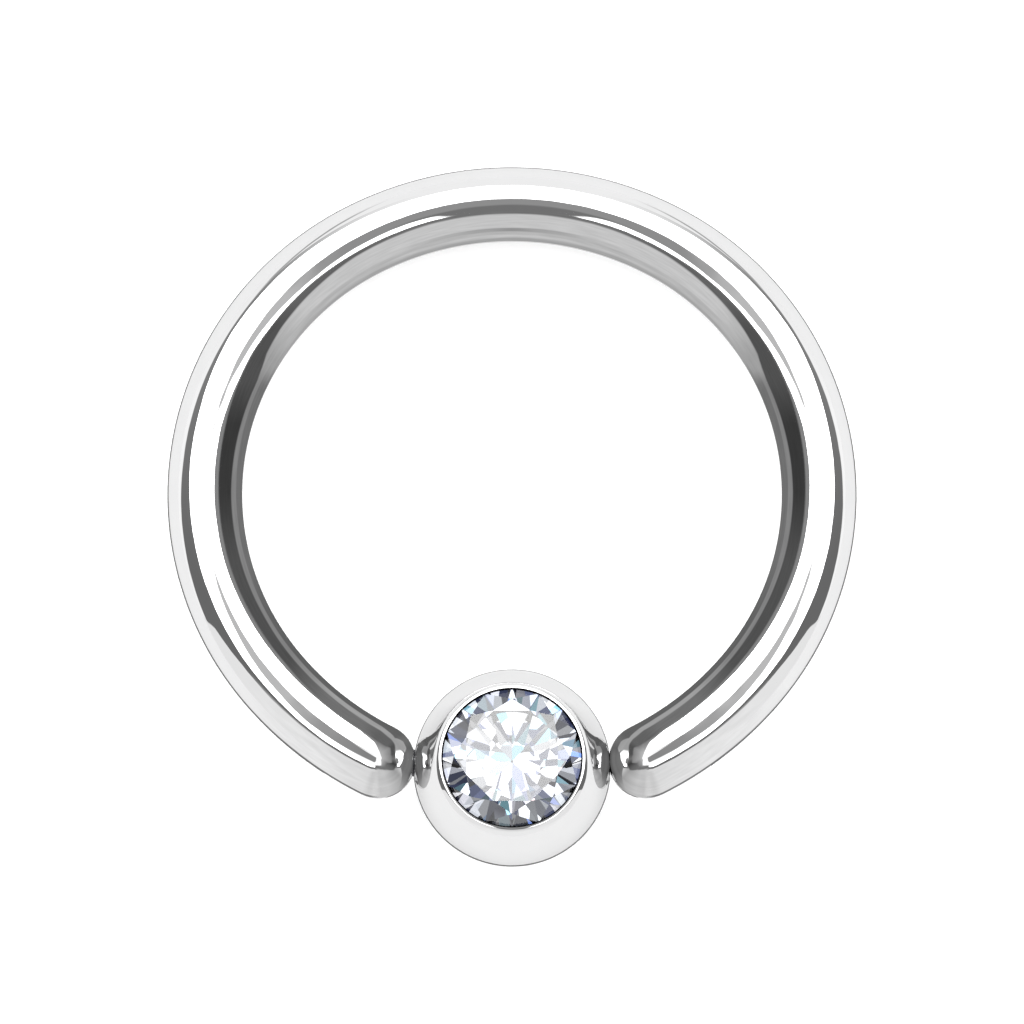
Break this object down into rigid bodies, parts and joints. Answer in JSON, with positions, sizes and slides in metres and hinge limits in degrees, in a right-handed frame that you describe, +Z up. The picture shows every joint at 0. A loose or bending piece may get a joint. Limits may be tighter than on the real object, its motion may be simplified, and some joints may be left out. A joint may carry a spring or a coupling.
{
  "type": "fixed bead ring",
  "caption": "Steel hoop of round wire closed by a ball that is welded to one end and holds a round clear stone; the other end rests against the ball.",
  "frame": {"origin": "on the surface the ring lies on, under the middle of its bounding box", "axes": "+Z up, out of the stone's side of the hoop; +Y from the ball towards the top of the hoop; +X to the right as seen from the stone's side"},
  "size_m": [0.0146, 0.015, 0.0038],
  "materials": {
    "polished_steel": "mirror polished surgical steel",
    "clear_stone": "polished facets, colourless with a cool cast"
  },
  "bodies": {
    "root": {"ring_and_bead": "polished_steel", "stone": "clear_stone"}
  },
  "joints": []
}
